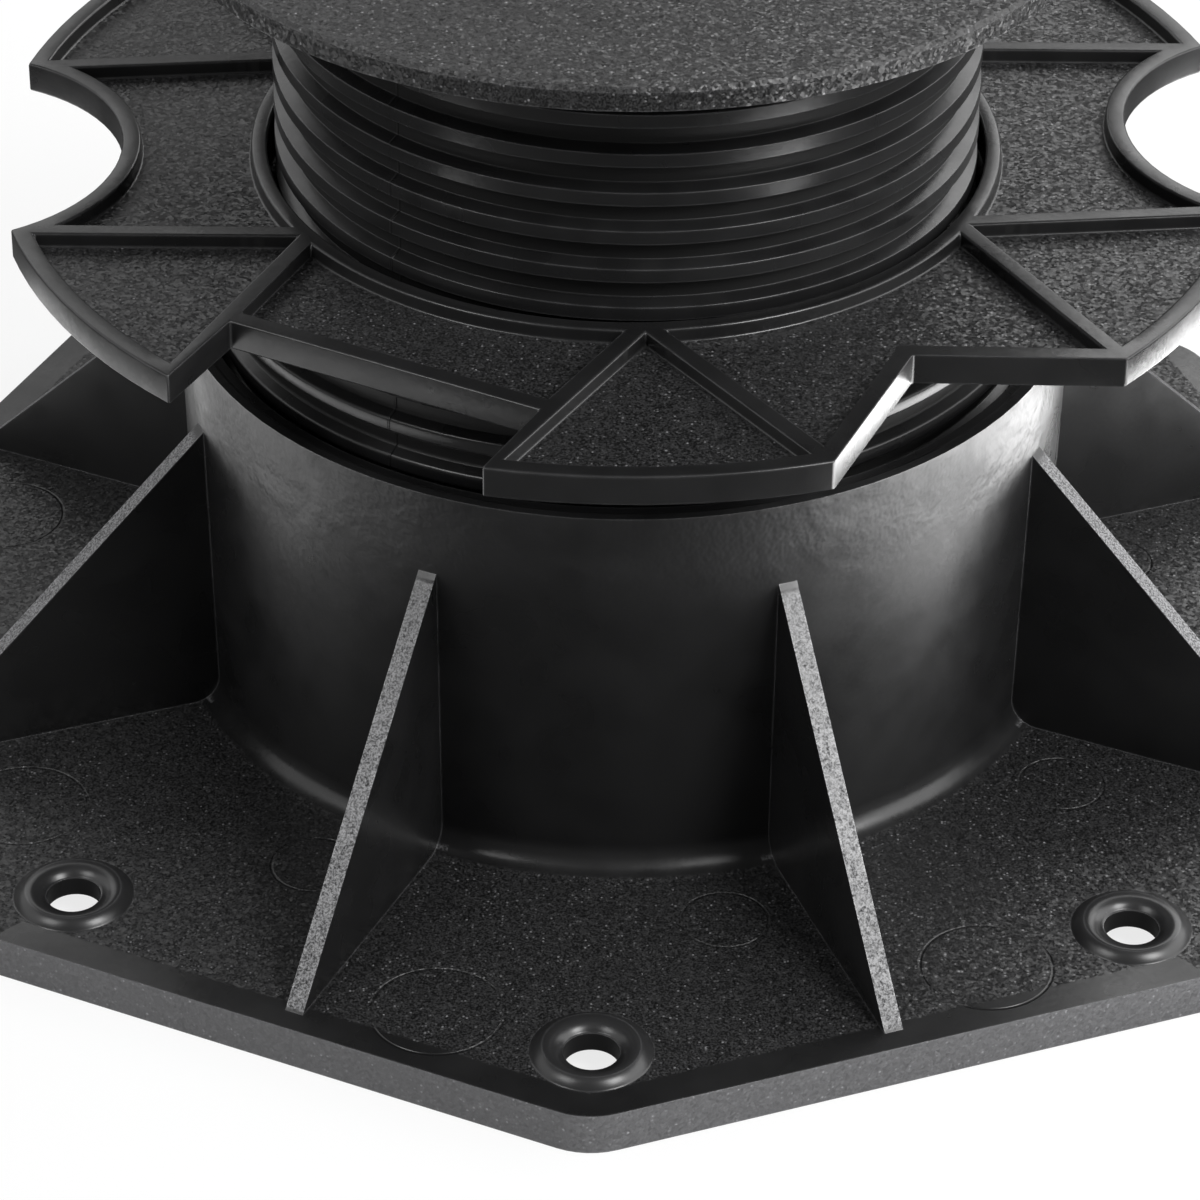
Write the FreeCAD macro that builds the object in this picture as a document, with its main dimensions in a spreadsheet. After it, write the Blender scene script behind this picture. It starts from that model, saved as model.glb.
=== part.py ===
import FreeCAD, Part
import math
import os
import re
import Sketcher

# Adjustable deck pedestal: a ribbed octagonal base with a threaded socket, a notched ring whose
# sleeve screws into that socket, and a head plate on a hollow threaded stem in the ring.
# Millimetres, +Z up. The origin is the centre of the base's underside; +X passes through a screw
# hole and a corner of the base. Angles run anticlockwise from +X, seen from above.

doc = FreeCAD.newDocument("DeckPedestal")
sheet = doc.addObject("Spreadsheet::Sheet", "Sizes")

SIZES = [
    # base plate
    ("base_half_depth", "93.4", "axis to the four flat sides nearest the Y axis"),
    ("base_half_width", "98", "axis to the four flat sides nearest the X axis"),
    ("base_corner_round", "9", "rounding of the plate's corners"),
    ("base_height", "5.4", "underside to the top of the plate"),
    ("base_web", "2.45", "thickness of the plate's web and skirt"),
    ("underside_rib", "2", "thickness of the ribs under the plate"),
    ("drain_radius", "12", "drain hole in the socket's floor"),
    # screw holes
    ("screw_circle_radius", "88.9", "axis to each screw hole"),
    ("screw_hole_radius", "3.25", "screw hole"),
    ("boss_outer_radius", "7.2", "foot of the raised ring round a hole"),
    ("boss_crest_radius", "5.7", "crest of the raised ring"),
    ("boss_rise", "1", "crest above the plate"),
    # socket
    ("socket_height", "56", "underside to the socket's rim"),
    ("socket_wall", "2.5", "wall at the rim"),
    ("socket_taper", "0.8", "loss of outer radius from the rim to the foot"),
    ("socket_foot_round", "3.4", "fillet between wall and plate"),
    # gussets
    ("gusset_thickness", "2.3", "gusset"),
    ("gusset_top", "45.3", "underside to the gusset's upper end on the socket"),
    ("gusset_inset", "2.9", "flat side of the plate to the gusset's outer end"),
    # outer thread, between sleeve and socket
    ("thread_pitch", "5", "one turn of either thread"),
    ("thread_crest", "1.7", "width of a crest"),
    ("thread_depth", "1.5", "crest to root"),
    ("thread_flank", "0.7", "axial run of one flank"),
    ("thread_clearance", "0.3", "gap between mating threads, all round"),
    ("sleeve_thread_radius", "51.1", "crest of the sleeve's outer thread"),
    ("sleeve_thread_turns", "6.25", "length of the sleeve's thread in turns"),
    ("socket_thread_turns", "1.5", "length of the socket's thread in turns"),
    ("socket_groove_play", "1.1", "thread crest to the socket's plain bore"),
    # adjusting ring
    ("flange_underside", "71.7", "underside of the base to the underside of the flange"),
    ("flange_thickness", "3.8", "flange at its rims and ribs"),
    ("flange_web", "2", "flange at its panels"),
    ("flange_radius", "76", "outer arcs of the lugs"),
    ("flange_rim", "2.3", "width of the raised rims"),
    ("lug_half_angle", "14.65", "half the arc of one lug"),
    ("lug_rib", "2.2", "width of a rib"),
    ("notch_depth_radius", "59.8", "axis to the floor of the square and pointed notches"),
    ("square_notch_width", "40", "width of the square notch"),
    ("round_notch_centre", "83.8", "axis to the centre of the round notch"),
    ("round_notch_radius", "22.9", "radius of the round notch"),
    ("hub_rim", "1.9", "width of the raised rim round the mouth"),
    ("mouth_play", "1", "stem crest to the mouth's lip"),
    ("mouth_lip", "1.3", "height of the mouth's lip"),
    ("collar_length", "15.5", "top of the ring to the lower end of its threaded collar"),
    ("sleeve_wall", "2.6", "sleeve below the collar, root to bore"),
    ("sleeve_foot", "35.5", "underside of the base to the sleeve's lower end"),
    ("ring_phase", "4.9", "turn of the ring about the axis"),
    ("collar_thread_turns", "1.25", "length of the collar's thread in turns"),
    # threaded head
    ("stem_thread_radius", "42.5", "crest of the stem's thread"),
    ("stem_thread_turns", "6.75", "length of the stem's thread in turns"),
    ("stem_wall", "2.6", "stem, root to bore"),
    ("stem_foot", "67.5", "underside of the base to the stem's lower end"),
    ("head_top", "112.3", "underside of the base to the top of the head plate"),
    ("head_thickness", "2.8", "head plate"),
    ("head_radius", "56", "head plate"),
    ("head_edge_bevel", "0.5", "bevel of the head plate's edges"),
    ("stem_root_bevel", "1.5", "bevel between stem and head plate"),
    # thread starts, on the +X side
    ("sleeve_thread_start", "3.1", "sleeve's foot to the top of its first crest"),
    ("stem_thread_start", "2.93", "stem's foot to the top of its first crest"),
]

for row, (alias, value, meaning) in enumerate(SIZES, start=1):
    sheet.set(f"A{row}", meaning)
    sheet.set(f"B{row}", value)
    sheet.setAlias(f"B{row}", alias)
working = doc.addObject("Spreadsheet::Sheet", "Working")
doc.recompute()


# Formulas are written with the sheet's own words; every word with an underscore is one of them.
def tied(formula):
    return re.sub(r"\b([a-z]+(?:_[a-z]+)+)\b", r"Sizes.\1", str(formula))


# The value of a formula, worked out in a sheet of its own
def number(formula):
    working.set("A1", "=" + tied(formula))
    working.recompute()
    return float(working.get("A1"))


def plane(body, role):
    return next(f for f in body.Origin.OriginFeatures if f.Role == role)


# A closed outline on one of the body's planes. Each corner is a pair of formulas. The entry
# after a corner may be ("arc", centre x, centre y), which joins it to the next corner by an arc
# about that centre, anticlockwise where "turn" is 1 and clockwise where it is -1.
def outline(body, name, role, *steps):
    sketch = body.newObject("Sketcher::SketchObject", name)
    sketch.AttachmentSupport = [(plane(body, role), "")]
    sketch.MapMode = "FlatFace"
    corners = [step for step in steps if step[0] != "arc"]
    arcs = {}
    count = 0
    for step in steps:
        if step[0] == "arc":
            arcs[count - 1] = step[1:]
        else:
            count += 1
    spots = [FreeCAD.Vector(number(x), number(y), 0) for x, y in corners]
    starts, ends = {}, {}
    for i, spot in enumerate(spots):
        following = spots[(i + 1) % count]
        if i in arcs:
            centre_x, centre_y, turn = arcs[i]
            centre = FreeCAD.Vector(number(centre_x), number(centre_y), 0)
            first, last = (spot, following) if turn > 0 else (following, spot)
            circle = Part.Circle(centre, FreeCAD.Vector(0, 0, 1), (spot - centre).Length)
            angles = [math.atan2(p.y - centre.y, p.x - centre.x) for p in (first, last)]
            geometry = sketch.addGeometry(Part.ArcOfCircle(circle, *angles), False)
            starts[i], ends[i] = (1, 2) if turn > 0 else (2, 1)
            place(sketch, geometry, 3, centre_x, centre_y)
        else:
            geometry = sketch.addGeometry(Part.LineSegment(spot, following), False)
            starts[i], ends[i] = 1, 2
    for i in range(count):
        j = (i + 1) % count
        sketch.addConstraint(Sketcher.Constraint("Coincident", i, ends[i], j, starts[j]))
    for i, (x, y) in enumerate(corners):
        after_arc = (i - 1) % count in arcs
        if not after_arc:
            place(sketch, i, starts[i], x, y)
        else:
            centre = arcs[(i - 1) % count]
            across = abs(spots[i].x - number(centre[0])) < abs(spots[i].y - number(centre[1]))
            place(sketch, i, starts[i], x if across else None, None if across else y)
    return sketch


def place(sketch, geometry, point, x, y):
    for kind, formula in (("DistanceX", x), ("DistanceY", y)):
        if formula is None:
            continue
        value = number(formula)
        rule = Sketcher.Constraint(kind, -1, 1, geometry, point, value)
        index = sketch.addConstraint(rule)
        if re.search("[a-z]", str(formula)):
            sketch.setExpression(f"Constraints[{index}]", tied(formula))


def circle(body, name, role, x, y, radius):
    sketch = body.newObject("Sketcher::SketchObject", name)
    sketch.AttachmentSupport = [(plane(body, role), "")]
    sketch.MapMode = "FlatFace"
    centre = FreeCAD.Vector(number(x), number(y), 0)
    sketch.addGeometry(Part.Circle(centre, FreeCAD.Vector(0, 0, 1), number(radius)), False)
    place(sketch, 0, 3, x, y)
    index = sketch.addConstraint(Sketcher.Constraint("Radius", 0, number(radius)))
    sketch.setExpression(f"Constraints[{index}]", tied(radius))
    return sketch


def lift(sketch, height):
    sketch.setExpression("AttachmentOffset.Base.z", tied(height))


def swing(sketch, axis, angle):
    sketch.AttachmentOffset = FreeCAD.Placement(
        FreeCAD.Vector(0, 0, 0), FreeCAD.Rotation(FreeCAD.Vector(*axis), number(angle))
    )
    sketch.setExpression("AttachmentOffset.Rotation.Angle", tied(angle))


def pad(body, name, sketch, length, midplane=False):
    feature = body.newObject("PartDesign::Pad", name)
    feature.Profile = sketch
    feature.Midplane = midplane
    feature.setExpression("Length", tied(length))
    return feature


def pocket(body, name, sketch, length, reversed_cut=False):
    feature = body.newObject("PartDesign::Pocket", name)
    feature.Profile = sketch
    feature.Reversed = reversed_cut
    feature.setExpression("Length", tied(length))
    return feature


def turned(body, name, sketch, kind="Revolution"):
    feature = body.newObject(f"PartDesign::{kind}", name)
    feature.Profile = sketch
    feature.ReferenceAxis = (sketch, ["V_Axis"])
    feature.Angle = 360
    return feature


def around(body, name, features, count):
    pattern = body.newObject("PartDesign::PolarPattern", name)
    pattern.Originals = features
    pattern.Axis = (plane(body, "Z_Axis"), [""])
    pattern.Angle = 360
    pattern.Occurrences = count
    body.Tip = pattern
    return pattern


# A ridge with sloping flanks, swept along a helix. side is 1 for an outside thread and -1 for an
# inside one; the ridge's foot is sunk a little into the wall that carries it.
def ridge(body, name, wall, tip, top, crest, flank, turns, left_handed, side):
    sunk = f"({wall}) - {side} * thread_flank / 2"
    low = f"({top}) - ({crest})"
    sketch = outline(
        body, name + "Profile", "XZ_Plane",
        (sunk, f"{low} - ({flank})"),
        (wall, f"{low} - ({flank})"),
        (tip, low),
        (tip, top),
        (wall, f"({top}) + ({flank})"),
        (sunk, f"({top}) + ({flank})"),
    )
    doc.recompute()
    helix = body.newObject("PartDesign::AdditiveHelix", name)
    helix.Profile = sketch
    helix.ReferenceAxis = (sketch, ["V_Axis"])
    helix.Mode = 1
    helix.Angle = 0
    helix.Growth = 0
    helix.LeftHanded = left_handed
    helix.Reversed = False
    helix.setExpression("Pitch", tied("thread_pitch"))
    helix.setExpression("Turns", tied(turns))
    doc.recompute()
    return helix


# Radii and heights shared by mating pieces
SLEEVE_ROOT = "(sleeve_thread_radius - thread_depth)"
SOCKET_BORE = "(sleeve_thread_radius + thread_clearance + socket_groove_play)"
SOCKET_TIP = f"({SLEEVE_ROOT} + thread_clearance)"
SOCKET_OUTER = f"({SOCKET_BORE} + socket_wall)"
STEM_ROOT = "(stem_thread_radius - thread_depth)"
STEM_BORE = f"({STEM_ROOT} - stem_wall)"
COLLAR_TIP = "(stem_thread_radius + thread_clearance)"
COLLAR_BORE = f"({COLLAR_TIP} + thread_depth)"
MOUTH = "(stem_thread_radius + mouth_play)"
SLEEVE_BORE = f"({SLEEVE_ROOT} - sleeve_wall)"
RING_TOP = "(flange_underside + flange_thickness)"


# Base: an eight-sided plate, hollow below. Its corners point along X and Y and midway between; the
# four sides nearest the X axis stand a little further out than the other four.
base = doc.addObject("PartDesign::Body", "Base")
base.Label = "base"
corner_count = 8
side_turn = 360 / corner_count
half_turn = side_turn / 2


def octagon(half_width, half_depth):
    on_x = f"({half_width}) / cos({half_turn}deg)"
    on_y = f"({half_depth}) / cos({half_turn}deg)"
    slant_x = (
        f"(({half_width}) * cos({half_turn}deg) - ({half_depth}) * sin({half_turn}deg))"
        f" / sin({side_turn}deg)"
    )
    slant_y = (
        f"(({half_depth}) * cos({half_turn}deg) - ({half_width}) * sin({half_turn}deg))"
        f" / sin({side_turn}deg)"
    )
    return (
        (on_x, "0"), (slant_x, slant_y), ("0", on_y), (f"-{slant_x}", slant_y),
        (f"-{on_x}", "0"), (f"-{slant_x}", f"-{slant_y}"), ("0", f"-{on_y}"), (slant_x, f"-{slant_y}"),
    )


# The middle lines of two neighbouring sides, and how far out each of those sides stands; a half
# turn and a mirror image give the other six.
SIDES = (
    ("WideLeft", half_turn, "base_half_width"), ("WideRight", -half_turn, "base_half_width"),
    ("DeepLeft", side_turn + half_turn, "base_half_depth"),
    ("DeepRight", -side_turn - half_turn, "base_half_depth"),
)

plate_sketch = outline(base, "PlateOutline", "XY_Plane", *octagon("base_half_width", "base_half_depth"))
plate = pad(base, "Plate", plate_sketch, "base_height")
doc.recompute()
corners = [
    f"Edge{i}" for i, edge in enumerate(plate.Shape.Edges, start=1)
    if abs(edge.tangentAt(edge.FirstParameter).z) > 0.99
]
rounding = base.newObject("PartDesign::Fillet", "PlateCorners")
rounding.Base = (plate, corners)
rounding.setExpression("Radius", tied("base_corner_round"))
doc.recompute()

hollow = octagon("base_half_width - base_web", "base_half_depth - base_web")
hollow_sketch = outline(base, "HollowOutline", "XY_Plane", *hollow)
pocket(base, "Hollow", hollow_sketch, "base_height - base_web", True)
doc.recompute()

for name, angle, reach in SIDES:
    rib_sketch = outline(
        base, name + "UndersideRibOutline", "XY_Plane",
        ("drain_radius + base_web / 2", "-underside_rib / 2"),
        (f"{reach} - base_web / 2", "-underside_rib / 2"),
        (f"{reach} - base_web / 2", "underside_rib / 2"),
        ("drain_radius + base_web / 2", "underside_rib / 2"),
    )
    swing(rib_sketch, (0, 0, 1), angle)
    under_rib = pad(base, name + "UndersideRib", rib_sketch, "base_height - base_web / 2")
    around(base, name + "UndersideRibs", [under_rib], 2)
    doc.recompute()

# Socket, turned with its foot fillet; the same wall runs down to the rest plane
foot_outer = f"({SOCKET_OUTER} - socket_taper)"
socket = turned(base, "Socket", outline(
    base, "SocketProfile", "XZ_Plane",
    (SOCKET_BORE, "0"),
    (foot_outer, "0"),
    (foot_outer, "base_height - base_web / 2"),
    (f"{foot_outer} + socket_foot_round", "base_height - base_web / 2"),
    (f"{foot_outer} + socket_foot_round", "base_height"),
    ("arc", f"{foot_outer} + socket_foot_round", "base_height + socket_foot_round", -1),
    (foot_outer, "base_height + socket_foot_round"),
    (SOCKET_OUTER, "socket_height"),
    (SOCKET_BORE, "socket_height"),
))
collar_sketch = outline(
    base, "DrainCollarProfile", "XZ_Plane",
    ("drain_radius", "0"),
    ("drain_radius + base_web", "0"),
    ("drain_radius + base_web", "base_height"),
    ("drain_radius", "base_height"),
)
turned(base, "DrainCollar", collar_sketch)
drain = pocket(base, "Drain", circle(base, "DrainOutline", "XY_Plane", 0, 0, "drain_radius"), "base_height", True)
doc.recompute()

# Gussets between socket and plate, one at the middle of each side, sloping down to the plate
for name, angle, reach in SIDES:
    gusset_sketch = outline(
        base, name + "GussetProfile", "XZ_Plane",
        (f"{foot_outer} - socket_wall / 4", "base_height - base_web / 2"),
        (f"{reach} - gusset_inset", "base_height - base_web / 2"),
        (f"{reach} - gusset_inset", "base_height"),
        (f"{foot_outer} + socket_taper / 2", "gusset_top"),
        (f"{foot_outer} - socket_wall / 4", "gusset_top"),
    )
    swing(gusset_sketch, (0, 1, 0), angle)
    gusset = pad(base, name + "Gusset", gusset_sketch, "gusset_thickness", True)
    around(base, name + "Gussets", [gusset], 2)
    doc.recompute()

# Screw bosses: a rounded ring dished towards its hole
boss_sketch = outline(
    base, "BossProfile", "XZ_Plane",
    ("0", "base_height - base_web / 2"),
    ("boss_outer_radius", "base_height - base_web / 2"),
    ("boss_outer_radius", "base_height"),
    ("boss_crest_radius", "base_height + boss_rise"),
    ("screw_hole_radius", "base_height"),
    ("0", "base_height"),
)
boss_sketch.setExpression("AttachmentOffset.Base.x", tied("screw_circle_radius"))
boss = turned(base, "Boss", boss_sketch)
around(base, "Bosses", [boss], corner_count)
doc.recompute()
hole_sketch = circle(base, "ScrewHoleOutline", "XY_Plane", "screw_circle_radius", 0, "screw_hole_radius")
hole = pocket(base, "ScrewHole", hole_sketch, "base_height + boss_rise", True)
around(base, "ScrewHoles", [hole], corner_count)
doc.recompute()

# The socket's thread sits midway in the groove of the sleeve's thread, with the named clearance.
# The sleeve's ridge is drawn at the ring's own zero angle, which the ring's turn carries round.
sleeve_top = "(sleeve_foot + sleeve_thread_start)"
groove_middle = (
    f"({sleeve_top} - ring_phase / 360 * thread_pitch - thread_crest / 2 + thread_pitch / 2)"
)
slope = "(thread_flank / thread_depth)"
gap = "(thread_pitch - thread_crest - 2 * thread_flank)"
socket_crest = f"({gap} + 2 * {slope} * thread_clearance - 2 * thread_clearance)"
socket_depth = f"({SOCKET_BORE} - {SOCKET_TIP})"
rows_up = 1
ridge(
    base, "SocketThread", SOCKET_BORE, SOCKET_TIP,
    f"{groove_middle} + {rows_up} * thread_pitch + {socket_crest} / 2",
    socket_crest, f"{slope} * {socket_depth}", "socket_thread_turns", False, -1,
)

# Adjusting ring: flange, threaded collar and sleeve turned in one
ring = doc.addObject("PartDesign::Body", "AdjustingRing")
ring.Label = "adjusting_ring"
turned(ring, "RingProfileTurned", outline(
    ring, "RingProfile", "XZ_Plane",
    (SLEEVE_BORE, "sleeve_foot"),
    (SLEEVE_ROOT, "sleeve_foot"),
    (SLEEVE_ROOT, "flange_underside"),
    ("flange_radius", "flange_underside"),
    ("flange_radius", RING_TOP),
    (MOUTH, RING_TOP),
    (MOUTH, f"{RING_TOP} - mouth_lip"),
    (COLLAR_BORE, f"{RING_TOP} - mouth_lip - mouth_play"),
    (COLLAR_BORE, f"{RING_TOP} - collar_length"),
    (SLEEVE_BORE, f"{RING_TOP} - collar_length - {SLEEVE_BORE} + {COLLAR_BORE}"),
))
doc.recompute()

lug_count = 6
notch_count = 2
half = 180 / lug_count
corner_x = f"(flange_radius * cos({half}deg - lug_half_angle * 1deg))"
corner_y = f"(flange_radius * sin({half}deg - lug_half_angle * 1deg))"
beyond = "(1.2 * flange_radius)"

# Three kinds of notch, each twice: round, square and pointed
round_notch = circle(ring, "RoundNotchOutline", "XY_Plane", "round_notch_centre", 0, "round_notch_radius")
square_notch = outline(
    ring, "SquareNotchOutline", "XY_Plane",
    ("notch_depth_radius", "-square_notch_width / 2"),
    (beyond, "-square_notch_width / 2"),
    (beyond, "square_notch_width / 2"),
    ("notch_depth_radius", "square_notch_width / 2"),
)
notch_slope = f"({corner_y} / ({corner_x} - notch_depth_radius))"
pointed_notch = outline(
    ring, "PointedNotchOutline", "XY_Plane",
    ("notch_depth_radius", "0"),
    (beyond, f"-{notch_slope} * ({beyond} - notch_depth_radius)"),
    (beyond, f"{notch_slope} * ({beyond} - notch_depth_radius)"),
)
for i, (name, sketch) in enumerate((
    ("RoundNotch", round_notch), ("SquareNotch", square_notch), ("PointedNotch", pointed_notch)
)):
    sketch.AttachmentOffset = FreeCAD.Placement(
        FreeCAD.Vector(0, 0, 0), FreeCAD.Rotation(FreeCAD.Vector(0, 0, 1), i * 2 * half)
    )
    lift(sketch, "flange_underside")
    cut = pocket(ring, name, sketch, "flange_thickness", True)
    around(ring, name + "es", [cut], notch_count)
    doc.recompute()

# Recessed panels. Two ribs run from the hub on each lug's middle line to the lug's corners, and a
# raised rim follows the outline.
rim_radius = f"({MOUTH} + hub_rim)"
apex = f"({MOUTH} + hub_rim / 8)"
rib_angle = f"atan2(flange_radius * sin(lug_half_angle * 1deg); flange_radius * cos(lug_half_angle * 1deg) - {apex})"
panel_apex = f"({apex} + lug_rib / 2 / sin({rib_angle}))"
panel_radius = "(flange_radius - flange_rim)"
panel_run = (
    f"(sqrt({panel_radius}^2 - ({panel_apex} * sin({rib_angle}))^2) - {panel_apex} * cos({rib_angle}))"
)
lug_x = f"{panel_apex} + {panel_run} * cos({rib_angle})"
lug_y = f"{panel_run} * sin({rib_angle})"
lug_panel = outline(
    ring, "LugPanelOutline", "XY_Plane",
    (panel_apex, "0"),
    (lug_x, f"-{lug_y}"),
    ("arc", "0", "0", 1),
    (lug_x, lug_y),
)

apex_x = f"({apex} * cos({half}deg))"
apex_y = f"({apex} * sin({half}deg))"
tilt = f"(({corner_y} - {apex_y}) / ({corner_x} - {apex_x}))"
offset = f"({apex_y} - {tilt} * {apex_x} - lug_rib / 2 * sqrt(1 + {tilt}^2))"
hub_x = f"((sqrt({rim_radius}^2 * (1 + {tilt}^2) - {offset}^2) - {tilt} * {offset}) / (1 + {tilt}^2))"
hub_y = f"({tilt} * {hub_x} + {offset})"
arc_radius = "(round_notch_radius + flange_rim)"
shifted = f"(round_notch_centre - {tilt} * {offset})"
round_x = (
    f"(({shifted} - sqrt({shifted}^2 - (1 + {tilt}^2) * (round_notch_centre^2 + {offset}^2"
    f" - {arc_radius}^2))) / (1 + {tilt}^2))"
)
round_y = f"({tilt} * {round_x} + {offset})"
round_panel = outline(
    ring, "RoundPanelOutline", "XY_Plane",
    (hub_x, f"-{hub_y}"),
    (round_x, f"-{round_y}"),
    ("arc", "round_notch_centre", "0", -1),
    (round_x, round_y),
    (hub_x, hub_y),
    ("arc", "0", "0", -1),
)
square_x = "(notch_depth_radius - flange_rim)"
square_panel = outline(
    ring, "SquarePanelOutline", "XY_Plane",
    (hub_x, f"-{hub_y}"),
    (square_x, f"-({tilt} * {square_x} + {offset})"),
    (square_x, f"{tilt} * {square_x} + {offset}"),
    (hub_x, hub_y),
    ("arc", "0", "0", -1),
)
point_x = f"(notch_depth_radius - flange_rim * sqrt(1 + {notch_slope}^2) / {notch_slope})"
side_x = f"(({offset} + {notch_slope} * {point_x}) / ({notch_slope} - {tilt}))"
side_y = f"({tilt} * {side_x} + {offset})"
pointed_panel = outline(
    ring, "PointedPanelOutline", "XY_Plane",
    (hub_x, f"-{hub_y}"),
    (side_x, f"-{side_y}"),
    (point_x, "0"),
    (side_x, side_y),
    (hub_x, hub_y),
    ("arc", "0", "0", -1),
)
for name, sketch, angle, count in (
    ("LugPanel", lug_panel, half, lug_count),
    ("RoundPanel", round_panel, 0, notch_count),
    ("SquarePanel", square_panel, 2 * half, notch_count),
    ("PointedPanel", pointed_panel, 4 * half, notch_count),
):
    sketch.AttachmentOffset = FreeCAD.Placement(
        FreeCAD.Vector(0, 0, 0), FreeCAD.Rotation(FreeCAD.Vector(0, 0, 1), angle)
    )
    lift(sketch, RING_TOP)
    cut = pocket(ring, name, sketch, "flange_thickness - flange_web")
    around(ring, name + "s", [cut], count)
    doc.recompute()

ridge(
    ring, "SleeveThread", SLEEVE_ROOT, "sleeve_thread_radius", sleeve_top,
    "thread_crest", "thread_flank", "sleeve_thread_turns", False, 1,
)
collar_crest = f"({gap} - 2 * thread_clearance)"
ridge(
    ring, "CollarThread", COLLAR_BORE, COLLAR_TIP,
    f"{RING_TOP} - collar_length + 2 * thread_crest + thread_flank",
    collar_crest, "thread_flank", "collar_thread_turns", True, -1,
)
ring.Placement = FreeCAD.Placement(
    FreeCAD.Vector(0, 0, 0), FreeCAD.Rotation(FreeCAD.Vector(0, 0, 1), number("ring_phase"))
)
ring.setExpression("Placement.Rotation.Angle", tied("ring_phase"))

# Threaded head: plate and hollow stem turned in one
head = doc.addObject("PartDesign::Body", "ThreadedHead")
head.Label = "threaded_head"
head_under = "(head_top - head_thickness)"
turned(head, "HeadProfileTurned", outline(
    head, "HeadProfile", "XZ_Plane",
    ("0", head_under),
    (STEM_BORE, head_under),
    (STEM_BORE, "stem_foot"),
    (STEM_ROOT, "stem_foot"),
    (STEM_ROOT, f"{head_under} - stem_root_bevel"),
    (f"{STEM_ROOT} + stem_root_bevel", head_under),
    ("head_radius", head_under),
    ("head_radius", "head_top - head_edge_bevel"),
    ("head_radius - head_edge_bevel", "head_top"),
    ("0", "head_top"),
))
doc.recompute()
ridge(
    head, "StemThread", STEM_ROOT, "stem_thread_radius", "stem_foot + stem_thread_start",
    "thread_crest", "thread_flank", "stem_thread_turns", True, 1,
)
doc.recompute()

doc.removeObject("Working")
doc.recompute()

# Every feature and every finished piece is checked before anything is written
bodies = (base, ring, head)
for item in doc.Objects:
    if "Invalid" in item.State or "Error" in item.State:
        raise RuntimeError(f"{item.Label} failed: {item.State}")
for body in bodies:
    if body.Shape.isNull() or not body.Shape.isValid() or len(body.Shape.Solids) != 1:
        raise RuntimeError(f"{body.Label} is not one sound solid")

os.makedirs("parts", exist_ok=True)
for body in bodies:
    body.Shape.exportStep(f"parts/{body.Label}.step")
    box = body.Shape.BoundBox
    print(body.Label, round(body.Shape.Volume), "mm3, z", round(box.ZMin, 2), "to", round(box.ZMax, 2))
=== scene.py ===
import bpy
import math
from mathutils import Matrix, Vector

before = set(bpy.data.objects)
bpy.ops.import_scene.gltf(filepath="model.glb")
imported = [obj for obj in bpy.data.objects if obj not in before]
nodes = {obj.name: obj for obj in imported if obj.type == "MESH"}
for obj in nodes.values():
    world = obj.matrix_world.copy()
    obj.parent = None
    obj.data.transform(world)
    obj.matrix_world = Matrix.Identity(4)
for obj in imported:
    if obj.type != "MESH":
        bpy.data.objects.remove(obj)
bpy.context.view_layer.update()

# Lengths are in metres and angles in degrees. Heights are taken from the base's underside and
# radii from the part's axis, as on the solids.
PLATE_TOP = 0.0054
PLATE_SIDE = 0.0934          # axis to the plate's front and back sides
WIDE_SIDE_EXTRA = 0.0046     # the left and right sides lie so much further out
SECTOR_HALF = 22.5           # the plate has eight sectors, each with one gusset
SCREW_CIRCLE = 0.0889
BOSS_FOOT = 0.0072           # radius of the raised ring round a screw hole
SOCKET_RIM_RADIUS = 0.0550
SOCKET_FOOT_RADIUS = 0.0542
GUSSET_REACH = 0.0026        # from a gusset's middle plane to just past its side
FLANGE_UNDERSIDE = 0.0717
PANEL_FLOOR = 0.0737
MOUTH_RIM_RADIUS = 0.0454    # outer edge of the raised rim round the ring's mouth
HEAD_UNDERSIDE = 0.1095
SLEEVE_THREAD = (0.0496, 0.0511)  # root and crest
STEM_THREAD = (0.0410, 0.0425)

# Radii and directions of the ejector pins in each sector: direction, distance out, radius
EJECTOR_PINS = ((32.6, 0.0845, 0.0078), (13.0, 0.0655, 0.0052))
RING_PARTING = 239.8
STEM_PARTING = 52.4

# Textures, in cycles a metre
GRAIN = 2600.0
FINE = 4200.0
BLOTCH = 210.0
FLOW = 48.0
SCUFF = 62.0


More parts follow.
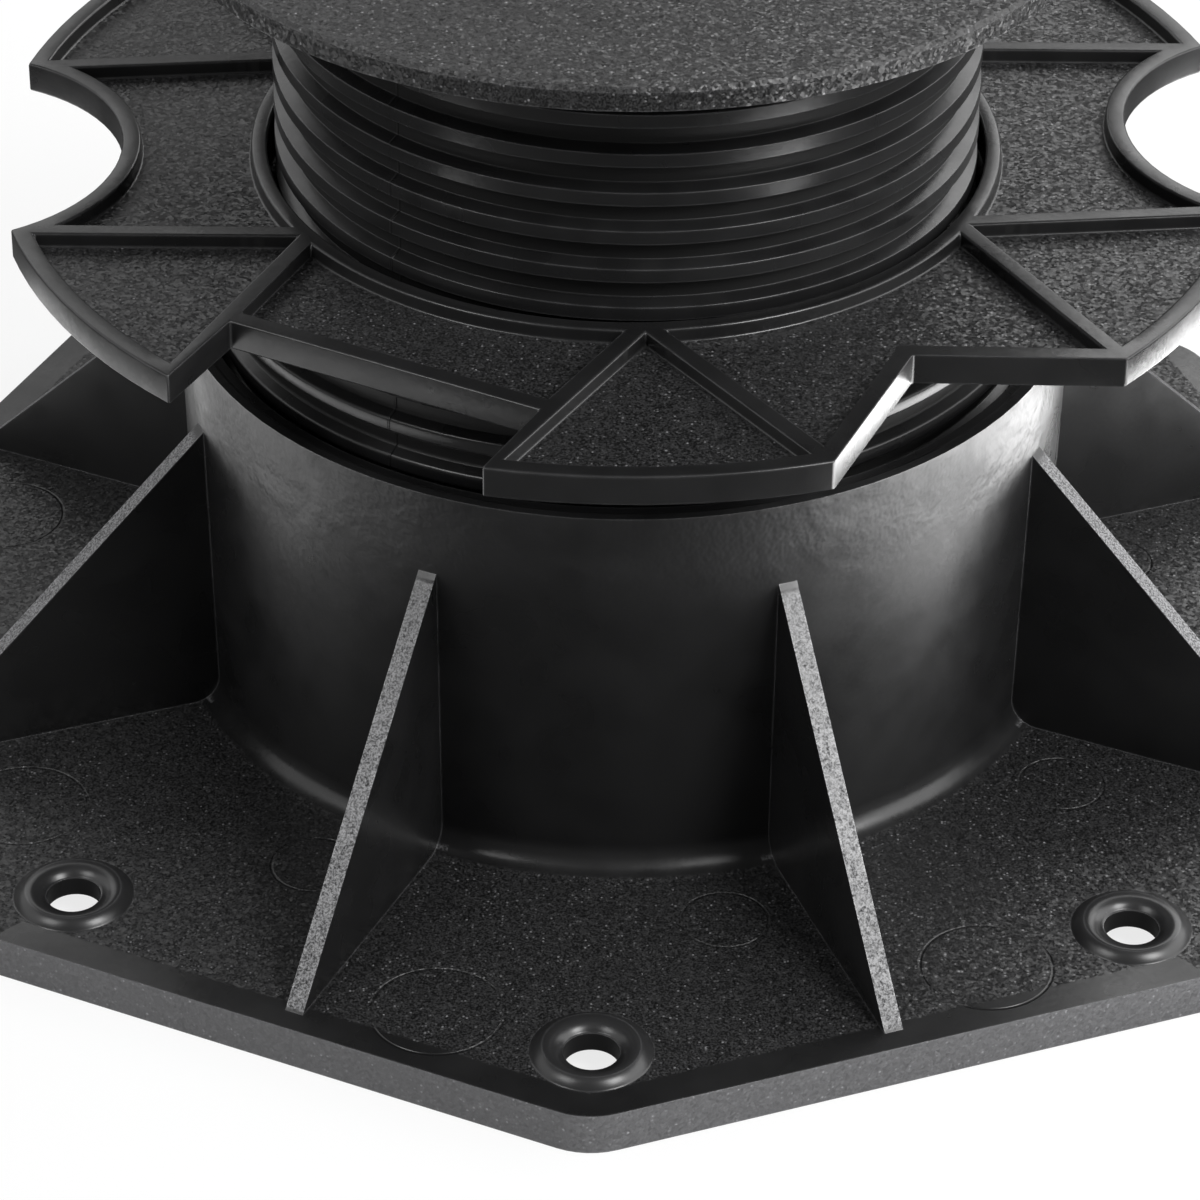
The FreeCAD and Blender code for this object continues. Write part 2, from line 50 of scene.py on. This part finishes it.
class Graph:
    """One node material, built step by step."""
    def __init__(self, name):
        self.material = bpy.data.materials.new(name)
        self.material.use_nodes = True
        self.tree = self.material.node_tree
        self.tree.nodes.clear()

    def node(self, kind, **settings):
        made = self.tree.nodes.new(kind)
        for key, value in settings.items():
            setattr(made, key, value)
        return made

    def feed(self, socket, value):
        """Link the socket to an output, or give it a plain value."""
        if isinstance(value, bpy.types.NodeSocket):
            self.tree.links.new(value, socket)
        else:
            socket.default_value = value

    def math(self, operation, *values):
        made = self.node("ShaderNodeMath", operation=operation)
        for socket, value in zip(made.inputs, values):
            self.feed(socket, value)
        return made.outputs[0]

    def chain(self, operation, values):
        total = values[0]
        for value in values[1:]:
            total = self.math(operation, total, value)
        return total

    def add(self, *values):
        return self.chain("ADD", values)

    def product(self, *values):
        return self.chain("MULTIPLY", values)

    def minus(self, first, second):
        return self.math("SUBTRACT", first, second)

    def larger(self, *values):
        return self.chain("MAXIMUM", values)

    def rise(self, value, low, high, start=0.0, end=1.0, kind="SMOOTHSTEP"):
        """From start to end while the value goes from low to high."""
        made = self.node("ShaderNodeMapRange", interpolation_type=kind)
        self.feed(made.inputs["Value"], value)
        self.feed(made.inputs["From Min"], low)
        self.feed(made.inputs["From Max"], high)
        self.feed(made.inputs["To Min"], start)
        self.feed(made.inputs["To Max"], end)
        return made.outputs["Result"]

    def fade(self, value, low, high):
        """1 up to low, and 0 from high on."""
        return self.rise(value, low, high, 1.0, 0.0)

    def noise(self, place, scale, detail, roughness):
        made = self.node("ShaderNodeTexNoise")
        self.feed(made.inputs["Vector"], place)
        self.feed(made.inputs["Scale"], scale)
        self.feed(made.inputs["Detail"], detail)
        self.feed(made.inputs["Roughness"], roughness)
        return made.outputs["Fac"]

    def cells(self, place, scale):
        made = self.node("ShaderNodeTexVoronoi", feature="F1")
        self.feed(made.inputs["Vector"], place)
        self.feed(made.inputs["Scale"], scale)
        return made.outputs["Distance"], made.outputs["Color"]

    def mix(self, share, first, second):
        made = self.node("ShaderNodeMix", data_type="FLOAT")
        self.feed(made.inputs[0], share)
        self.feed(made.inputs[2], first)
        self.feed(made.inputs[3], second)
        return made.outputs[0]

    def mix_vectors(self, share, first, second):
        made = self.node("ShaderNodeMix", data_type="VECTOR")
        self.feed(made.inputs[0], share)
        self.feed(made.inputs[4], first)
        self.feed(made.inputs[5], second)
        return made.outputs[1]

    def vector_math(self, operation, *values):
        made = self.node("ShaderNodeVectorMath", operation=operation)
        for socket, value in zip(made.inputs, values):
            self.feed(socket, value)
        return made.outputs["Vector"]

    def dot(self, first, second):
        made = self.node("ShaderNodeVectorMath", operation="DOT_PRODUCT")
        self.feed(made.inputs[0], first)
        self.feed(made.inputs[1], second)
        return made.outputs["Value"]

    def scaled(self, vector, factor):
        made = self.node("ShaderNodeVectorMath", operation="SCALE")
        self.feed(made.inputs[0], vector)
        self.feed(made.inputs["Scale"], factor)
        return made.outputs["Vector"]

    def vector(self, x, y, z):
        made = self.node("ShaderNodeCombineXYZ")
        for socket, value in zip(made.inputs, (x, y, z)):
            self.feed(socket, value)
        return made.outputs[0]

    def split(self, vector):
        made = self.node("ShaderNodeSeparateXYZ")
        self.feed(made.inputs[0], vector)
        return made.outputs

    def length(self, first, second):
        squares = self.add(self.product(first, first), self.product(second, second))
        return self.math("SQRT", squares)

    def wrap(self, angle, middle, half):
        """The angle from the nearest of the directions middle + 2 * half * k, in radians."""
        shifted = self.minus(angle, math.radians(middle))
        return self.math("WRAP", shifted, math.radians(half), math.radians(-half))


class Spot:
    """The place on the piece in its own coordinates, and the way its face looks."""
    def __init__(self, g):
        self.place = g.node("ShaderNodeTexCoord").outputs["Object"]
        x, y, self.z = g.split(self.place)
        self.normal = g.node("ShaderNodeNewGeometry").outputs["Normal"]
        self.up = g.split(self.normal)[2]
        self.radius = g.length(x, y)
        self.angle = g.math("ARCTAN2", y, x)


def worn_and_highlit_edges(g, at, blotch):
    """1 along convex and concave edges, unevenly; there the colour is painted paler, partly as rubbed
    wear and partly as a painted highlight along the edges.
    """
    rounded = g.node("ShaderNodeBevel", samples=2)
    g.feed(rounded.inputs["Radius"], 0.00036)
    bend = g.minus(1.0, g.dot(rounded.outputs[0], at.normal))
    return g.product(g.rise(bend, 0.02, 0.16), g.rise(blotch, 0.30, 0.55, 0.45, 1.0))


def thread_highlight_and_shade(g, at, threads, rough, value):
    """Crests painted a little paler, a painted highlight, and the roots between them painted dark and
    dull, a painted shade.
    """
    root, crest = threads
    sideways = g.minus(1.0, g.math("ABSOLUTE", at.up))
    on_crest = g.product(
        g.rise(at.radius, crest - 0.0005, crest - 0.0002),
        g.fade(at.radius, crest + 0.0003, crest + 0.0006),
        sideways,
    )
    in_root = g.product(
        g.fade(at.radius, root + 0.0002, root + 0.0009),
        g.rise(at.radius, root - 0.0006, root - 0.0003),
        g.fade(at.up, 0.6, 0.8),
    )
    # painted highlight on the crests, then painted shade in the roots
    value = g.add(value, g.product(on_crest, 0.004))
    return g.mix(in_root, rough, 0.60), g.mix(in_root, value, 0.0045)


def plastic(name, grain_mask, marks, scuffed=None, rounded=None, painted_light=None, threads=None):
    """Black moulded plastic: a satin skin with flow marks, and a spark-eroded grain by the mask."""
    g = Graph(name)
    at = Spot(g)
    mask = grain_mask(g, at)
    scuffs = scuffed(g, at) if scuffed else 0.0
    grain_off, grain_colour = g.cells(at.place, GRAIN)
    fine = g.noise(at.place, FINE, 1.0, 0.6)
    flow = g.noise(at.place, FLOW, 1.0, 0.55)
    blotch = g.noise(at.place, BLOTCH, 1.0, 0.6)
    edge_wear_and_highlight = worn_and_highlit_edges(g, at, blotch)

    # a few grains, picked by their cell's colour, are painted as light specks: painted glints of the
    # grain
    picker = g.node("ShaderNodeSeparateColor")
    g.feed(picker.inputs[0], grain_colour)
    glint_speck = g.product(g.fade(grain_off, 0.20, 0.50), g.math("POWER", picker.outputs[0], 16.0))

    # brightness, before its slight blue
    tone = g.add(g.product(flow, 0.8), g.product(blotch, 0.4))
    skin_value = g.rise(tone, 0.40, 0.80, 0.0080, 0.0115)
    grain_value = g.add(g.rise(fine, 0.36, 0.64, 0.0025, 0.025), g.product(flow, 0.003))
    grain_value = g.add(grain_value, g.product(glint_speck, 0.16))
    value = g.mix(mask, skin_value, grain_value)
    # edges painted paler: partly rubbed wear, partly a painted highlight along them
    value = g.add(value, g.product(scuffs, 0.008), g.product(edge_wear_and_highlight, 0.065))
    # painted light: some faces painted paler where they catch the light
    if painted_light:
        value = g.add(value, painted_light(g, at, fine))

    # roughness
    skin_rough = g.add(g.rise(tone, 0.40, 0.85, 0.25, 0.37), g.product(scuffs, 0.14))
    grain_rough = g.rise(fine, 0.3, 0.7, 0.34, 0.52)
    rough = g.mix(g.product(edge_wear_and_highlight, 0.8), g.mix(mask, skin_rough, grain_rough), 0.19)

    # relief: marks from the mould, and fine strokes where something has rubbed
    relief = marks(g, at)
    if scuffed:
        strokes = g.vector(g.product(at.angle, 1.9), g.product(at.z, 30.0), 0.0)
        hatch = g.product(g.noise(strokes, 7.0, 3.0, 0.72), 1.8)
        relief = g.add(relief, g.product(hatch, scuffs))
    bump = g.node("ShaderNodeBump")
    g.feed(bump.inputs["Strength"], 1.0)
    g.feed(bump.inputs["Distance"], 0.00013)
    g.feed(bump.inputs["Height"], relief)

    # each grain tilts its own way, which gives the sparkle
    lean = g.vector_math("SUBTRACT", grain_colour, (0.5, 0.5, 0.5))
    tilt = g.scaled(lean, g.mix(mask, 0.025, 0.45))
    normal = g.vector_math("NORMALIZE", g.vector_math("ADD", bump.outputs[0], tilt))
    if rounded:
        share, direction = rounded(g, at)
        normal = g.vector_math("NORMALIZE", g.mix_vectors(share, normal, direction))
        rough = g.mix(share, rough, 0.30)
        # the bosses are also painted a little paler: a painted sheen
        value = g.add(value, g.product(share, 0.010))
    # painted highlight on the thread crests and painted shade in their roots
    if threads:
        rough, value = thread_highlight_and_shade(g, at, threads, rough, value)

    colour = g.node("ShaderNodeCombineColor")
    for socket, factor in zip(colour.inputs, (1.0, 1.0, 1.03)):
        g.feed(socket, g.product(value, factor))
    shader = g.node("ShaderNodeBsdfPrincipled")
    g.feed(shader.inputs["Base Color"], colour.outputs[0])
    g.feed(shader.inputs["Roughness"], rough)
    g.feed(shader.inputs["Normal"], normal)
    g.feed(shader.inputs["IOR"], 1.5)
    out = g.node("ShaderNodeOutputMaterial")
    g.feed(out.inputs["Surface"], shader.outputs[0])
    return g.material


def sector_place(g, at, middle):
    """Outward and sideways distances in the plate's nearest sector, turned to the middle's direction."""
    turn = g.wrap(at.angle, middle, SECTOR_HALF)
    along = g.product(at.radius, g.math("COSINE", turn))
    aside = g.product(at.radius, g.math("SINE", turn))
    return turn, along, aside


def plate_reach(g, at):
    """Distance from the axis, by the octagon: PLATE_SIDE all round its outline."""
    along = sector_place(g, at, SECTOR_HALF)[1]
    toward_x = g.math("ABSOLUTE", g.math("COSINE", at.angle))
    wide = g.math("GREATER_THAN", toward_x, math.cos(math.radians(45)))
    return g.minus(along, g.product(wide, WIDE_SIDE_EXTRA))


def gusset_slope(g, at):
    aside = g.math("ABSOLUTE", sector_place(g, at, SECTOR_HALF)[2])
    return g.product(
        g.rise(at.up, 0.50, 0.58),
        g.fade(at.up, 0.84, 0.90),
        g.rise(at.z, PLATE_TOP + 0.0001, PLATE_TOP + 0.0004),
        g.rise(at.radius, SOCKET_RIM_RADIUS + 0.0002, SOCKET_RIM_RADIUS + 0.0012),
        g.math("LESS_THAN", aside, GUSSET_REACH),
    )


def plate_skirt(g, at, low, high):
    """1 on the plate's outer side, where the face looks up by less than low."""
    return g.product(
        g.rise(plate_reach(g, at), PLATE_SIDE - 0.0019, PLATE_SIDE - 0.0009),
        g.fade(at.up, low, high),
        g.fade(at.z, PLATE_TOP + 0.0001, PLATE_TOP + 0.0006),
    )


def base_grain(g, at):
    """The plate inside its smooth border, its skirt, and part of the grain on the gussets' slopes."""
    top = g.product(
        g.fade(plate_reach(g, at), PLATE_SIDE - 0.0046, PLATE_SIDE - 0.0041),
        g.rise(at.up, 0.9, 0.99),
        g.fade(at.z, PLATE_TOP + 0.0001, PLATE_TOP + 0.0006),
    )
    return g.larger(top, plate_skirt(g, at, 0.1, 0.3), g.product(gusset_slope(g, at), 0.42))


def base_painted_light(g, at, fine):
    """The skirt and the gussets' slopes painted paler than the rest: painted light, for the light that
    their grain scatters.
    """
    skirt = g.product(plate_skirt(g, at, 0.1, 0.5), 0.120)
    # painted glints and sheen on the gussets' slopes
    painted_slope_glints = g.rise(fine, 0.36, 0.64, 0.012, 0.185)
    return g.add(skirt, g.product(gusset_slope(g, at), painted_slope_glints))


def pin_marks(g, at):
    """Circles left by the ejector pins on the plate."""
    line = 0.0
    for middle, out, pin_radius in EJECTOR_PINS:
        along, aside = sector_place(g, at, middle)[1:]
        from_pin = g.length(g.minus(along, out), aside)
        off = g.math("ABSOLUTE", g.minus(from_pin, pin_radius))
        line = g.larger(line, g.fade(off, 0.00003, 0.00026))
    on_top = g.product(
        g.rise(at.up, 0.9, 0.99),
        g.fade(at.z, PLATE_TOP + 0.0001, PLATE_TOP + 0.0004),
        g.rise(at.z, PLATE_TOP - 0.0014, PLATE_TOP - 0.0004),
    )
    return g.product(line, on_top, -1.0)


def socket_scuffs(g, at):
    """Rubbed patches on the socket's wall, under its rim."""
    wall = g.product(
        g.rise(at.radius, SOCKET_FOOT_RADIUS - 0.0006, SOCKET_FOOT_RADIUS - 0.0002),
        g.fade(at.radius, SOCKET_RIM_RADIUS + 0.0003, SOCKET_RIM_RADIUS + 0.0007),
        g.rise(at.z, 0.040, 0.051),
    )
    patches = g.rise(g.noise(at.place, SCUFF, 3.0, 0.6), 0.36, 0.58, 0.25, 1.0)
    return g.product(wall, patches)


def boss_swell(g, at):
    """Where a boss is, and the way it looks there as a smooth swelling round its screw hole."""
    turn, along, aside = sector_place(g, at, 0.0)
    along = g.minus(along, SCREW_CIRCLE)
    away = g.length(along, aside)
    sector = g.minus(at.angle, turn)
    cosine = g.math("COSINE", sector)
    sine = g.math("SINE", sector)
    out_x = g.minus(g.product(along, cosine), g.product(aside, sine))
    out_y = g.add(g.product(along, sine), g.product(aside, cosine))
    # the swelling falls off to the hole, and outwards to the plate
    steep = g.rise(away, 0.0034, 0.0071, -1.30, 1.45, "LINEAR")
    fall = g.math("DIVIDE", steep, away)
    share = g.product(
        g.rise(at.z, PLATE_TOP + 0.00002, PLATE_TOP + 0.00015),
        g.fade(away, BOSS_FOOT - 0.00005, BOSS_FOOT + 0.0001),
    )
    return share, g.vector(g.product(out_x, fall), g.product(out_y, fall), 1.0)


def ring_grain(g, at):
    """The sunken panels of the ring's flange."""
    return g.product(
        g.rise(at.up, 0.9, 0.99),
        g.fade(at.z, PANEL_FLOOR + 0.0005, PANEL_FLOOR + 0.0009),
        g.rise(at.radius, MOUTH_RIM_RADIUS - 0.0002, MOUTH_RIM_RADIUS + 0.0001),
    )


def parting(g, at, middle, low, high):
    """The line where the mould's halves met, across a thread on two sides."""
    off = g.math("ABSOLUTE", g.product(g.wrap(at.angle, middle, 90.0), at.radius))
    return g.product(
        g.fade(off, 0.00005, 0.00022),
        g.rise(at.radius, low, low + 0.0003),
        g.fade(at.radius, high, high + 0.0003),
    )


def ring_marks(g, at):
    line = parting(g, at, RING_PARTING, SLEEVE_THREAD[0] - 0.0011, SLEEVE_THREAD[1] + 0.0002)
    return g.product(line, g.fade(at.z, FLANGE_UNDERSIDE - 0.0005, FLANGE_UNDERSIDE - 0.0001))


def stem_marks(g, at):
    line = parting(g, at, STEM_PARTING, STEM_THREAD[0] - 0.0008, STEM_THREAD[1] + 0.0003)
    return g.product(line, g.fade(at.z, HEAD_UNDERSIDE - 0.0015, HEAD_UNDERSIDE - 0.0010))


def head_grain(g, at):
    """The head plate's top and rim."""
    plate = g.rise(at.z, HEAD_UNDERSIDE - 0.0005, HEAD_UNDERSIDE - 0.0001)
    return g.product(plate, g.rise(at.up, -0.3, -0.1))


def dress(node, material):
    mesh = nodes[node].data
    mesh.materials.clear()
    mesh.materials.append(material)
    for face in mesh.polygons:
        face.material_index = 0


dress("base", plastic("base_plastic", base_grain, pin_marks, socket_scuffs, boss_swell, base_painted_light))
dress("adjusting_ring", plastic("ring_plastic", ring_grain, ring_marks, threads=SLEEVE_THREAD))
dress("threaded_head", plastic("head_plastic", head_grain, stem_marks, threads=STEM_THREAD))


def soften(node, width):
    """Rounds the piece's sharp edges."""
    piece = nodes[node]
    for face in piece.data.polygons:
        face.use_smooth = True
    weld = piece.modifiers.new("weld", "WELD")
    weld.merge_threshold = 2e-7
    bevel = piece.modifiers.new("bevel", "BEVEL")
    bevel.width = width
    bevel.segments = 2
    bevel.limit_method = "ANGLE"
    bevel.angle_limit = math.radians(32)
    bevel.use_clamp_overlap = True
    normals = piece.modifiers.new("normals", "WEIGHTED_NORMAL")
    normals.mode = "FACE_AREA_WITH_ANGLE"
    normals.weight = 50


soften("base", 0.00035)
soften("adjusting_ring", 0.0003)
soften("threaded_head", 0.0003)

# Floor and surroundings: white to the camera, and dimmer as a light on the part
FLOOR_COLOUR = (0.86, 0.86, 0.86, 1)
FLOOR_GLOW = 0.11
WORLD_GLOW = 0.14


def floor_material():
    """A glow of 1 to the camera, a weak glow in reflections, and plain paint to other light."""
    g = Graph("floor_white")
    path = g.node("ShaderNodeLightPath")
    seen = path.outputs["Is Camera Ray"]
    paint = g.node("ShaderNodeBsdfDiffuse")
    g.feed(paint.inputs["Color"], FLOOR_COLOUR)
    glow = g.node("ShaderNodeEmission")
    g.feed(glow.inputs["Strength"], g.mix(seen, FLOOR_GLOW, 1.0))
    mixed = g.node("ShaderNodeMixShader")
    # 0.80 of the glow leaves the part a soft shadow on the floor
    g.feed(mixed.inputs[0], g.larger(g.product(seen, 0.80), path.outputs["Is Glossy Ray"]))
    g.feed(mixed.inputs[1], paint.outputs[0])
    g.feed(mixed.inputs[2], glow.outputs[0])
    out = g.node("ShaderNodeOutputMaterial")
    g.feed(out.inputs["Surface"], mixed.outputs[0])
    return g.material


bpy.ops.mesh.primitive_plane_add(size=6.0, location=(0, 0, -0.00005))
floor = bpy.context.object
floor.name = "floor"
floor.data.materials.append(floor_material())


def background(tree, strength):
    made = tree.nodes.new("ShaderNodeBackground")
    made.inputs["Color"].default_value = (1, 1, 1, 1)
    made.inputs["Strength"].default_value = strength
    return made.outputs[0]


world = bpy.data.worlds.new("studio")
bpy.context.scene.world = world
world.use_nodes = True
sky = world.node_tree
sky.nodes.clear()
sky_path = sky.nodes.new("ShaderNodeLightPath")
sky_mix = sky.nodes.new("ShaderNodeMixShader")
sky_out = sky.nodes.new("ShaderNodeOutputWorld")
sky.links.new(sky_path.outputs["Is Camera Ray"], sky_mix.inputs[0])
sky.links.new(background(sky, WORLD_GLOW), sky_mix.inputs[1])
sky.links.new(background(sky, 1.0), sky_mix.inputs[2])
sky.links.new(sky_mix.outputs[0], sky_out.inputs["Surface"])

# Soft boxes: name, place, the point that it faces, width and height, and watts
SOFT_BOXES = (
    ("strip_right", (0.46, 0.02, 0.24), (0.08, 0, 0.02), (0.70, 0.34), 2.2),
    ("strip_left", (-0.48, 0.04, 0.26), (-0.08, 0, 0.02), (0.70, 0.34), 0.7),
    ("key", (0.52, -0.42, 0.72), (0, 0, 0.05), (0.34, 0.34), 6.5),
    ("fill", (-0.52, -0.40, 0.72), (0, 0, 0.05), (0.34, 0.34), 2.4),
    ("back_right", (0.39, 0.78, 0.60), (0, 0, 0.08), (0.60, 0.55), 3.5),
    ("back_left", (-0.45, 0.78, 0.60), (0, 0, 0.08), (0.60, 0.55), 1.5),
    # these two lie on the floor and shine up, as sheets of white card would
    ("bounce_right", (0.132, -0.04, 0.0006), (0.132, -0.04, 0.30), (0.068, 0.18), 0.38),
    ("bounce_left", (-0.132, -0.04, 0.0006), (-0.132, -0.04, 0.30), (0.068, 0.18), 0.085),
)


def soft_box(name, place, aim, size, power):
    light = bpy.data.lights.new(name, "AREA")
    light.shape = "RECTANGLE"
    light.size, light.size_y = size
    light.energy = power
    lamp = bpy.data.objects.new(name, light)
    bpy.context.scene.collection.objects.link(lamp)
    lamp.location = place
    lamp.rotation_mode = "QUATERNION"
    lamp.rotation_quaternion = (Vector(aim) - Vector(place)).to_track_quat("-Z", "Y")


for row in SOFT_BOXES:
    soft_box(*row)

# Camera: the photograph's angle, and the lens and distance that its perspective gives
AZIMUTH, ELEVATION, ROLL = 2.0, 34.5, 0.53
FOCAL_PX, FRAME_PX = 4970.0, 1200.0
ASIDE_PX = 7.0               # how far the aim lies beside the frame's middle
DISTANCE, AIM_X, AIM_Z = 0.641, -0.0018, 0.00705
SENSOR_WIDTH = 36.0

# right, upward and forward are the camera's own directions, seen before the azimuth's turn
slope = math.radians(ELEVATION)
eye = Vector((AIM_X, -DISTANCE * math.cos(slope), DISTANCE * math.sin(slope) + AIM_Z))
forward = Vector((0, math.cos(slope), -math.sin(slope)))
level = Vector((1, 0, 0))
right = level * math.cos(math.radians(ROLL)) + level.cross(forward) * math.sin(math.radians(ROLL))
forward = (forward - right * (ASIDE_PX / FOCAL_PX)).normalized()
right = (right - forward * right.dot(forward)).normalized()
upward = right.cross(forward)
look = Matrix((
    (right.x, upward.x, -forward.x, eye.x),
    (right.y, upward.y, -forward.y, eye.y),
    (right.z, upward.z, -forward.z, eye.z),
    (0, 0, 0, 1),
))

lens = bpy.data.cameras.new("camera")
lens.sensor_width = SENSOR_WIDTH
lens.lens = SENSOR_WIDTH * FOCAL_PX / FRAME_PX
lens.clip_start = 0.01
lens.clip_end = 20.0
camera = bpy.data.objects.new("camera", lens)
bpy.context.scene.collection.objects.link(camera)
camera.matrix_world = Matrix.Rotation(math.radians(AZIMUTH), 4, "Z") @ look
bpy.context.scene.camera = camera
bpy.context.scene.view_settings.view_transform = "Standard"
